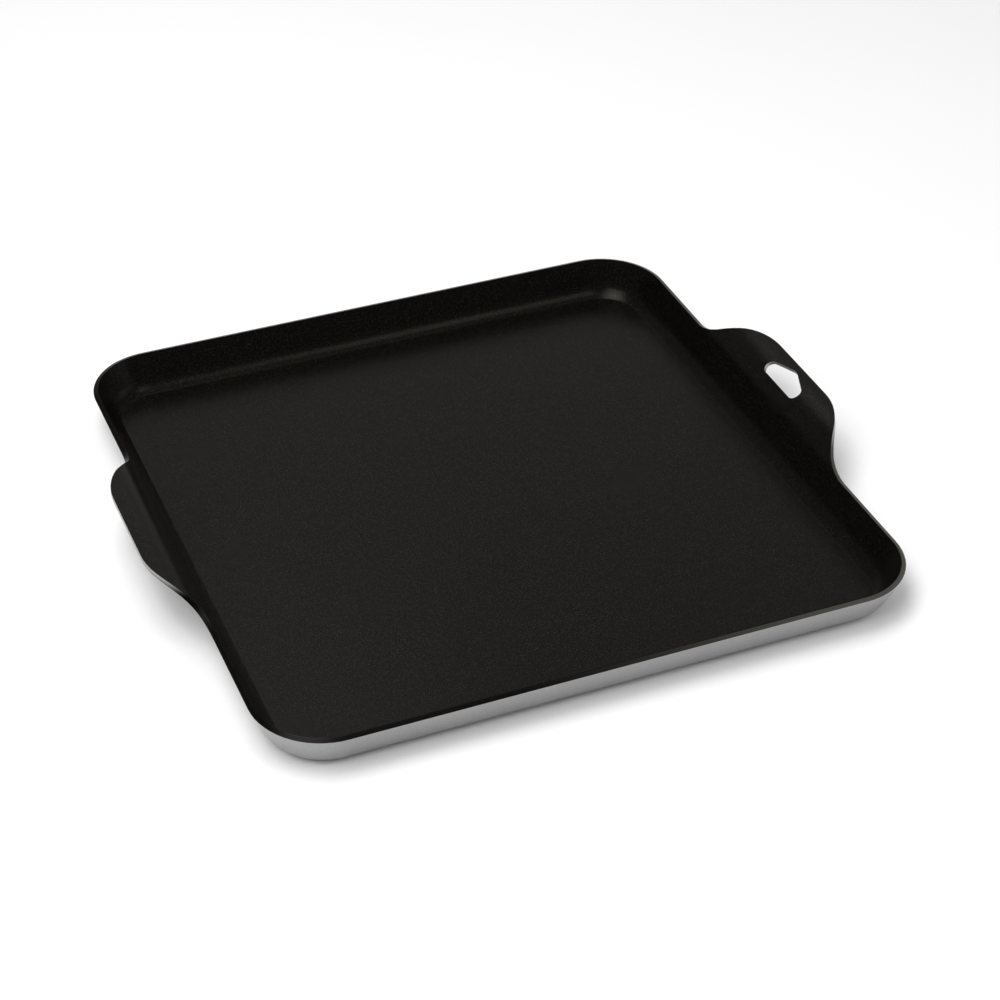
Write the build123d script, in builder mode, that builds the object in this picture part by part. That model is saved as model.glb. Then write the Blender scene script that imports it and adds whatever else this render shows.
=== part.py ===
"""Square griddle pan, pressed from one sheet of aluminium, with an ear on each side.

Frame: millimetres, +Z up, origin on the resting surface under the middle of the pan.
The ears point along +X and -X; the one on +X has the hang hole.

The whole pan is one sheet of even thickness. Every section of it is described by its upper
(cooking) surface and by the depth below that surface, measured square to the sheet:
depth 0 is the cooking surface, depth `coat` is where the non-stick coat meets the metal,
and depth `sheet` is the bare outside.
"""

import os
from math import cos, radians, sin, tan

from build123d import *

# ---- the sheet -------------------------------------------------------------------------
sheet = 2.2              # whole thickness, coat included
coat = 0.3               # non-stick coat, thicker than a real one so that it is a solid

# ---- the bowl --------------------------------------------------------------------------
rim_width = 280.0        # across the outer edge of the rim, both ways
rim_height = 18.0        # outer edge of the rim above the resting surface
rim_corner = 30.0        # plan radius of the rim's outer edge at a corner
draft = 22.5             # lean of the walls from vertical, degrees
floor_width = 257.0      # across the crease around the flat floor, both ways
crease = 30.0            # angle that the sheet turns through at that crease, degrees
crease_round = 0.5       # radius of the cooking surface at the crease

# ---- the ears --------------------------------------------------------------------------
ear_bend = 19.1          # radius of the upper surface, from wall to flat lip
ear_turn = 67.0          # angle that the ear turns through, degrees
ear_shoulder = 35.0      # plan radius between the straight lip and the sloping shoulder
shoulder_angle = 40.0    # slope of the shoulder from the wall's direction, degrees
shoulder_half = 58.6     # half width where the shoulder's straight line meets the rim
ear_root = 26.0          # plan radius between the shoulder and the rim

# ---- the hang hole, a rounded home-plate shape in the +X ear ---------------------------
hole_inner = 8.6         # rim to the hole's long inner side, along the sheet
hole_outer = 19.3        # rim to the hole's point, along the sheet
hole_half = 14.0         # half length of the hole
hole_side = 5.6          # length of its short sides, before its corners are rounded
hole_round = 3.2         # radius of the corners at the ends of those sides
hole_point_round = 6.0   # radius of the point

# ---- places that follow from the above -------------------------------------------------
lean = radians(draft)
wall_slope = radians(90) - lean
corner_axis = rim_width / 2 - rim_corner          # plan centre of each corner
rim_inner_r = rim_corner - sheet * cos(lean)      # cooking surface at the rim, from there
rim_inner_x = corner_axis + rim_inner_r
rim_inner_z = rim_height + sheet * sin(lean)

crease_turn = radians(crease)
crease_x = floor_width / 2 - corner_axis - crease_round * tan(crease_turn / 2)
crease_z = sheet + crease_round                   # centre of the crease's section
to_wall = (rim_inner_r - crease_x) * cos(lean) - (rim_inner_z - crease_z) * sin(lean)
bend_turn = wall_slope - crease_turn              # what the sheet still has to turn
floor_bend = (to_wall - crease_round * cos(bend_turn)) / (1 - cos(bend_turn))
bend_x = crease_x - (floor_bend - crease_round) * sin(crease_turn)
bend_z = crease_z + (floor_bend - crease_round) * cos(crease_turn)

half_turn = radians(ear_turn / 2)
chord_slope = wall_slope - half_turn              # rise of the line from rim to lip
chord = 2 * ear_bend * sin(half_turn)             # length of that line
bend_axis_x = rim_inner_x + ear_bend * cos(lean)
bend_axis_z = rim_inner_z - ear_bend * sin(lean)
reach = 2 * ear_bend                              # further than any ear cut needs


def on_crease(depth, slope):
    """Point of the crease's section at a depth, where the sheet has reached a slope."""
    radius = crease_round + depth
    return (crease_x + radius * sin(slope), crease_z - radius * cos(slope))


def on_floor_bend(depth, slope):
    """Point of the bend's section, from crease to wall, at a depth and a slope."""
    radius = floor_bend + depth
    return (bend_x + radius * sin(slope), bend_z - radius * cos(slope))


def on_rim(depth):
    """Point of the rim's cut edge at a depth."""
    return (rim_inner_r + depth * cos(lean), rim_inner_z - depth * sin(lean))


def bowl_section(plane, upper, lower):
    """The sheet between two depths, from a corner's axis out to the rim's cut edge."""
    with BuildSketch(plane) as section:
        with BuildLine():
            Polyline(on_crease(lower, 0), (0, sheet - lower), (0, sheet - upper),
                     on_crease(upper, 0))
            for depth in (upper, lower):
                ThreePointArc(*[on_crease(depth, n * crease_turn / 2) for n in range(3)])
                ThreePointArc(*[on_floor_bend(depth, crease_turn + n * bend_turn / 2)
                                for n in range(3)])
            Polyline(on_floor_bend(upper, wall_slope), on_rim(upper), on_rim(lower),
                     on_floor_bend(lower, wall_slope))
        make_face()
    return section.sketch


def side_plane(quarter, end):
    """Upright plane across one side, through the corner axis at its start (-1) or end (1)."""
    origin = Vector(corner_axis, end * corner_axis, 0)
    turn = 90 * quarter
    return Plane(
        origin.rotate(Axis.Z, turn),
        x_dir=Vector(1, 0, 0).rotate(Axis.Z, turn),
        z_dir=Vector(0, -1, 0).rotate(Axis.Z, turn),
    )


def bowl_layer(upper, lower):
    """The bowl's sheet between two depths: floor, four sides and four corners."""
    with BuildPart() as layer:
        with Locations((0, 0, sheet - lower)):
            Box(2 * corner_axis, 2 * corner_axis, lower - upper,
                align=(Align.CENTER, Align.CENTER, Align.MIN))
        for quarter in range(4):
            extrude(bowl_section(side_plane(quarter, -1), upper, lower),
                    amount=-2 * corner_axis)
            corner = side_plane(quarter, 1)
            revolve(bowl_section(corner, upper, lower), revolution_arc=90,
                    axis=Axis(corner.origin, (0, 0, 1)))
    return layer.part


def arc_point(radius, turned):
    """Point of the ear's section at a radius, after turning through an angle from the rim."""
    angle = radians(180) - lean - turned
    return (bend_axis_x + radius * cos(angle), bend_axis_z + radius * sin(angle))


def bend_sector(outer, inner):
    """The ear's section between two radii about the axis of its bend."""
    with BuildSketch(Plane((0, 0, 0), x_dir=(1, 0, 0), z_dir=(0, -1, 0))) as section:
        with BuildLine():
            ThreePointArc(*[arc_point(outer, part * half_turn) for part in range(3)])
            ThreePointArc(*[arc_point(inner, part * half_turn) for part in range(3)])
            Line(arc_point(outer, 0), arc_point(inner, 0))
            Line(arc_point(outer, 2 * half_turn), arc_point(inner, 2 * half_turn))
        make_face()
    return section.sketch


# ---- one ear of the whole sheet, with the bend's upper surface trimmed to its outline ----
rise_x = cos(chord_slope)
rise_z = sin(chord_slope)
chord_plane = Plane((rim_inner_x, 0, rim_inner_z), x_dir=(rise_x, 0, rise_z),
                    z_dir=(-rise_z, 0, rise_x))
lip_corner = shoulder_half - chord / tan(radians(shoulder_angle))
dip = 0.03               # the outline runs this far below the rim, so that it crosses it

with BuildPart() as ear_form:
    with BuildSketch(chord_plane):
        with BuildLine():
            FilletPolyline((-dip, rim_width / 2), (-dip, shoulder_half), (chord, lip_corner),
                           (chord, -lip_corner), (-dip, -shoulder_half),
                           (-dip, -rim_width / 2),
                           radius=[ear_root, ear_shoulder, ear_shoulder, ear_root])
            Polyline((-dip, -rim_width / 2), (-reach, -rim_width / 2),
                     (-reach, rim_width / 2), (-dip, rim_width / 2))
        make_face()
    extrude(amount=reach, both=True)
    extrude(bend_sector(ear_bend, ear_bend - 2 * sheet), amount=rim_width, both=True,
            mode=Mode.INTERSECT)
upper_face = ear_form.faces().filter_by(GeomType.CYLINDER).sort_by(SortBy.AREA)[-1]
with BuildPart() as plain_ear:
    thicken(upper_face, amount=sheet, normal_override=(0, 0, -1))

# ---- the hang hole, cut square to the sheet at the hole's middle --------------------------
hole_turned = (hole_inner + hole_outer) / 2 / ear_bend
hole_slope = radians(90) - lean - hole_turned
hole_reach = ear_bend * sin((hole_outer - hole_inner) / 2 / ear_bend)
hole_x, hole_z = arc_point(ear_bend, hole_turned)
hole_plane = Plane((hole_x, 0, hole_z), x_dir=(cos(hole_slope), 0, sin(hole_slope)),
                   z_dir=(-sin(hole_slope), 0, cos(hole_slope)))

with BuildPart() as holed_ear:
    add(plain_ear.part)
    with BuildSketch(hole_plane):
        with BuildLine():
            FilletPolyline((-hole_reach, -hole_half), (hole_side - hole_reach, -hole_half),
                           (hole_reach, 0), (hole_side - hole_reach, hole_half),
                           (-hole_reach, hole_half), close=True,
                           radius=[hole_round, hole_round, hole_point_round, hole_round,
                                   hole_round])
        make_face()
    extrude(amount=reach, both=True, mode=Mode.SUBTRACT)

# ---- the two layers of the ears: metal is everything inside the coat's lower surface ------
with BuildPart() as metal_zone:
    extrude(bend_sector(ear_bend - coat, ear_bend - 2 * sheet), amount=rim_width, both=True)
with BuildPart() as metal_holed_ear:
    add(holed_ear.part)
    add(metal_zone.part, mode=Mode.INTERSECT)
with BuildPart() as metal_plain_ear:
    add(plain_ear.part)
    add(metal_zone.part, mode=Mode.INTERSECT)
with BuildPart() as coat_holed_ear:
    add(holed_ear.part)
    add(metal_zone.part, mode=Mode.SUBTRACT)
with BuildPart() as coat_plain_ear:
    add(plain_ear.part)
    add(metal_zone.part, mode=Mode.SUBTRACT)

# ---- the pan's metal -----------------------------------------------------------------------
with BuildPart() as pan_body:
    add(bowl_layer(coat, sheet))
    add(metal_holed_ear.part)
    mirror(metal_plain_ear.part, about=Plane.YZ)

# ---- the non-stick coat on everything that faces up ----------------------------------------
with BuildPart() as nonstick_lining:
    add(bowl_layer(0, coat))
    add(coat_holed_ear.part)
    mirror(coat_plain_ear.part, about=Plane.YZ)

os.makedirs("parts", exist_ok=True)
pan_body.part.label = "pan_body"
export_step(pan_body.part, "parts/pan_body.step")
nonstick_lining.part.label = "nonstick_lining"
export_step(nonstick_lining.part, "parts/nonstick_lining.step")
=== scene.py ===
"""Looks for the square griddle pan: its materials, a pale floor, soft light and a camera."""

from math import cos, radians, sin

import bpy
from mathutils import Matrix, Vector

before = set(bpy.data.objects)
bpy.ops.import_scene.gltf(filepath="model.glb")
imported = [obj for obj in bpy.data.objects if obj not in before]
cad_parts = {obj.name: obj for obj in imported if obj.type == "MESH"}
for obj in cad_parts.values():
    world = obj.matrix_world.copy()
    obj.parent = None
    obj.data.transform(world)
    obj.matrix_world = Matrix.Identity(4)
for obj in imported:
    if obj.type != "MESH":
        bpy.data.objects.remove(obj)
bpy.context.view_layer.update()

RIM_Z = 0.018            # height of the rim's outer edge

# ---- the non-stick coat, also where it has spilled over the metal's cut edge -----------------
GRAIN_SCALE = 1700.0     # fineness of the coat's speckle and of the metal's grain
COAT_IOR = 1.46
COAT_BLACK = (0.0010, 0.0008, 0.0006, 1)

# the -X kind (black, reaching the ear's sides) and the +X kind (grey, only on faces looking up)
# differ as painted shade and light
SPILL_CHANGE = 0.02      # the spill changes from the -X kind to the +X kind, this far each side
SPILL_FACING = (-0.28, 0.20)      # upward part of the normal where each kind starts
SPILL_FACING_FADE = 0.14          # how much further up a face has to look for all of it
SPILL_TOP = (RIM_Z + 0.0125, RIM_Z + 0.0105)    # height where each kind has ended
SPILL_TOP_FADE = 0.0045           # height over which it fades out, below that


class Shader:
    """Builds one node material, with each node's inputs given as values or as other nodes."""

    def __init__(self, name):
        self.material = bpy.data.materials.new(name)
        self.material.use_nodes = True
        self.tree = self.material.node_tree
        self.tree.nodes.clear()

    def node(self, kind, **inputs):
        made = self.tree.nodes.new(kind)
        for key, value in inputs.items():
            self.put(made.inputs[key.replace("_", " ")], value)
        return made

    def put(self, socket, value):
        if isinstance(value, bpy.types.NodeSocket):
            self.tree.links.new(value, socket)
        else:
            socket.default_value = value

    def math(self, operation, first, second=0.0, third=0.0):
        made = self.tree.nodes.new("ShaderNodeMath")
        made.operation = operation
        for socket, value in zip(made.inputs, (first, second, third)):
            self.put(socket, value)
        return made.outputs[0]

    def ramp(self, value, start, end, low_out=0.0, high_out=1.0):
        """Smooth step of a value, from low_out at start to high_out at end."""
        made = self.tree.nodes.new("ShaderNodeMapRange")
        made.interpolation_type = "SMOOTHSTEP"
        for socket, given in zip(made.inputs, (value, start, end, low_out, high_out)):
            self.put(socket, given)
        return made.outputs[0]

    def mix(self, factor, first, second):
        """Blend of two colours, through the Mix node's colour sockets: 6 and 7 in, 2 out."""
        made = self.tree.nodes.new("ShaderNodeMix")
        made.data_type = "RGBA"
        self.put(made.inputs[0], factor)
        self.put(made.inputs[6], first)
        self.put(made.inputs[7], second)
        return made.outputs[2]

    def noise(self, place, scale, detail=2.0, roughness=0.5):
        made = self.node("ShaderNodeTexNoise", Vector=place, Scale=scale, Detail=detail,
                         Roughness=roughness)
        return made.outputs[0]

    def finish(self, surface):
        output = self.tree.nodes.new("ShaderNodeOutputMaterial")
        self.tree.links.new(surface, output.inputs[0])
        return self.material


def coat_material():
    """Baked-on non-stick: warm near-black with a fine speckle, a satin gloss and slight peel."""
    s = Shader("nonstick_coat")
    place = s.node("ShaderNodeTexCoord").outputs["Object"]
    fine = s.noise(place, GRAIN_SCALE, 3.0, 0.7)
    cloud = s.noise(place, 22.0, 2.0)
    peel = s.noise(place, 900.0, 2.0)
    dark = s.mix(cloud, COAT_BLACK, (0.0016, 0.0013, 0.0010, 1))
    fleck = s.ramp(fine, 0.50, 0.70)
    colour = s.mix(fleck, dark, (0.016, 0.0138, 0.0112, 1))
    rough = s.math("MULTIPLY_ADD", cloud, 0.05, 0.24)
    bump = s.node("ShaderNodeBump", Strength=0.45, Distance=0.00006, Height=peel)
    grain = s.node("ShaderNodeBump", Strength=0.45, Distance=0.00003, Height=fine,
                   Normal=bump.outputs[0])
    gloss = s.node("ShaderNodeBsdfPrincipled", Roughness=rough, IOR=COAT_IOR,
                   Specular_IOR_Level=0.125, Normal=grain.outputs[0])
    s.put(gloss.inputs["Base Color"], colour)
    s.put(gloss.inputs["Specular Tint"], (1.0, 0.90, 0.78, 1))
    return s.finish(gloss.outputs[0])


def metal_material():
    """Satin bare aluminium, with the coat spilled over its cut edge along the low rim.

    On the -X half the spill is black and also wraps the sides of the ear. Towards +X it turns
    grey and stays on what faces up: this change across X is painted shade and light, not a
    change in the coat. It fades out towards the top of each ear.
    """
    s = Shader("bare_metal")
    place = s.node("ShaderNodeTexCoord").outputs["Object"]
    normal = s.node("ShaderNodeNewGeometry").outputs["True Normal"]
    up = s.node("ShaderNodeSeparateXYZ", Vector=normal).outputs[2]
    parts = s.node("ShaderNodeSeparateXYZ", Vector=place)
    across = parts.outputs[0]
    height = parts.outputs[2]
    cloud = s.noise(place, 30.0, 3.0)
    grain = s.noise(place, GRAIN_SCALE, 3.0, 0.65)
    bright = s.mix(cloud, (0.31, 0.31, 0.31, 1), (0.37, 0.37, 0.37, 1))
    flecked = s.mix(s.ramp(grain, 0.35, 0.75), bright, (0.42, 0.42, 0.42, 1))
    rough = s.math("MULTIPLY_ADD", grain, 0.10, 0.34)
    bump = s.node("ShaderNodeBump", Strength=0.25, Distance=0.00004, Height=grain)
    bare = s.node("ShaderNodeBsdfPrincipled", Roughness=rough, Metallic=1.0,
                  Normal=bump.outputs[0])
    s.put(bare.inputs["Base Color"], flecked)

    fleck = s.ramp(grain, 0.55, 0.80)
    black = s.mix(fleck, COAT_BLACK, (0.007, 0.006, 0.0048, 1))
    # painted shade and light: the spilled coat goes from black on -X to a lighter grey on +X
    shade_across = s.ramp(across, -0.05, 0.15)
    spill_with_painted_shade = s.mix(shade_across, black, (0.062, 0.061, 0.051, 1))
    coat = s.node("ShaderNodeBsdfPrincipled", Roughness=0.28, IOR=COAT_IOR,
                  Specular_IOR_Level=0.08, Normal=bump.outputs[0])
    s.put(coat.inputs["Base Color"], spill_with_painted_shade)

    # painted shade: on -X the black spill reaches down the ear's sides, on +X it stays on faces
    # looking up
    facing = s.ramp(across, -SPILL_CHANGE, SPILL_CHANGE, *SPILL_FACING)
    faces_up = s.ramp(up, facing, s.math("ADD", facing, SPILL_FACING_FADE))
    top = s.ramp(across, -SPILL_CHANGE, SPILL_CHANGE, *SPILL_TOP)
    below_top = s.ramp(height, s.math("SUBTRACT", top, SPILL_TOP_FADE), top, 1.0, 0.0)
    mask = s.math("MULTIPLY", faces_up, below_top)
    mixed = s.node("ShaderNodeMixShader")
    s.put(mixed.inputs[0], mask)
    s.put(mixed.inputs[1], bare.outputs[0])
    s.put(mixed.inputs[2], coat.outputs[0])
    return s.finish(mixed.outputs[0])


def floor_material():
    """White studio sweep, with a trace of mottling."""
    s = Shader("studio_white")
    place = s.node("ShaderNodeTexCoord").outputs["Object"]
    tone = s.mix(s.noise(place, 3.0), (0.94, 0.94, 0.94, 1), (0.96, 0.96, 0.96, 1))
    matt = s.node("ShaderNodeBsdfPrincipled", Roughness=0.9)
    s.put(matt.inputs["Base Color"], tone)
    return s.finish(matt.outputs[0])


def paint(piece, material):
    piece.data.materials.clear()
    piece.data.materials.append(material)


paint(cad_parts["pan_body"], metal_material())
paint(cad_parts["nonstick_lining"], coat_material())


# ---- floor ---------------------------------------------------------------------------------

def make_floor():
    """A wide plain sweep: flat under the pan, rising gently into a wall far behind it."""
    half = 4.0               # half width, and reach towards the camera
    flat_end = 2.0           # where the floor starts to rise
    bend = 1.0               # radius of the rise
    wall_top = 4.0
    mesh = bpy.data.meshes.new("studio_floor")
    line = [(-half, 0.0), (flat_end, 0.0)]
    line += [(flat_end + sin(radians(turned)) * bend, bend - cos(radians(turned)) * bend)
             for turned in range(9, 91, 9)]
    line.append((flat_end + bend, wall_top))
    verts = [(side * half, y, z) for y, z in line for side in (-1, 1)]
    faces = [(2 * i, 2 * i + 1, 2 * i + 3, 2 * i + 2) for i in range(len(line) - 1)]
    mesh.from_pydata(verts, [], faces)
    for polygon in mesh.polygons:
        polygon.use_smooth = True
    made = bpy.data.objects.new("studio_floor", mesh)
    made.data.materials.append(floor_material())
    bpy.context.scene.collection.objects.link(made)


make_floor()


# ---- light ---------------------------------------------------------------------------------
LAMP_REACH = 1.5         # distance of every softbox from the origin, under the pan
SURROUND = 0.28          # strength of the pale surround


def soft_light(name, around, above, width, depth, power):
    """A softbox facing the pan: degrees clockwise from +Y seen from above, degrees up."""
    across = cos(radians(above))
    way = Vector((sin(radians(around)) * across, cos(radians(around)) * across,
                  sin(radians(above))))
    lamp = bpy.data.lights.new(name, "AREA")
    lamp.shape = "RECTANGLE"
    lamp.size = width
    lamp.size_y = depth
    lamp.energy = power
    made = bpy.data.objects.new(name, lamp)
    made.location = LAMP_REACH * way
    made.rotation_euler = (-way).to_track_quat("-Z", "Y").to_euler()
    bpy.context.scene.collection.objects.link(made)


soft_light("back_panel", 26, 42, 1.5, 1.2, 1.8)
soft_light("key_softbox", 240, 55, 0.9, 0.9, 11.0)
soft_light("overhead_left", 270, 76, 0.7, 0.7, 8.0)
soft_light("overhead_right", 60, 72, 0.7, 0.7, 1.0)
soft_light("back_high", 0, 57, 0.7, 0.7, 1.6)
soft_light("front_softbox", 145, 52, 0.5, 0.5, 2.0)
soft_light("low_right", 110, 12, 1.2, 0.6, 2.0)

world = bpy.data.worlds.new("studio")
world.use_nodes = True
background = world.node_tree.nodes["Background"]
background.inputs["Color"].default_value = (1, 1, 1, 1)
background.inputs["Strength"].default_value = SURROUND
bpy.context.scene.world = world
bpy.context.scene.view_settings.view_transform = "Standard"


# ---- camera --------------------------------------------------------------------------------
PITCH = radians(37.034)  # down towards the pan
YAW = radians(21.192)    # clockwise, seen from above, from facing +Y
ROLL = radians(-0.220)   # counter-clockwise, seen from behind the camera
TARGET = Vector((-0.031059, -0.012167, RIM_Z))
DISTANCE = 0.995160      # camera to target

back = Vector((-sin(YAW) * cos(PITCH), -cos(YAW) * cos(PITCH), sin(PITCH)))
level = Vector((cos(YAW), -sin(YAW), 0))
upright = level.cross(-back)
right = level * cos(ROLL) + upright * sin(ROLL)
up = upright * cos(ROLL) - level * sin(ROLL)

lens = bpy.data.cameras.new("camera")
lens.sensor_width = 36.0
lens.lens = 84.98
lens.shift_x = 0.0777
camera = bpy.data.objects.new("camera", lens)
camera.matrix_world = (Matrix.Translation(TARGET + DISTANCE * back)
                       @ Matrix((right, up, back)).transposed().to_4x4())
bpy.context.scene.collection.objects.link(camera)
bpy.context.scene.camera = camera
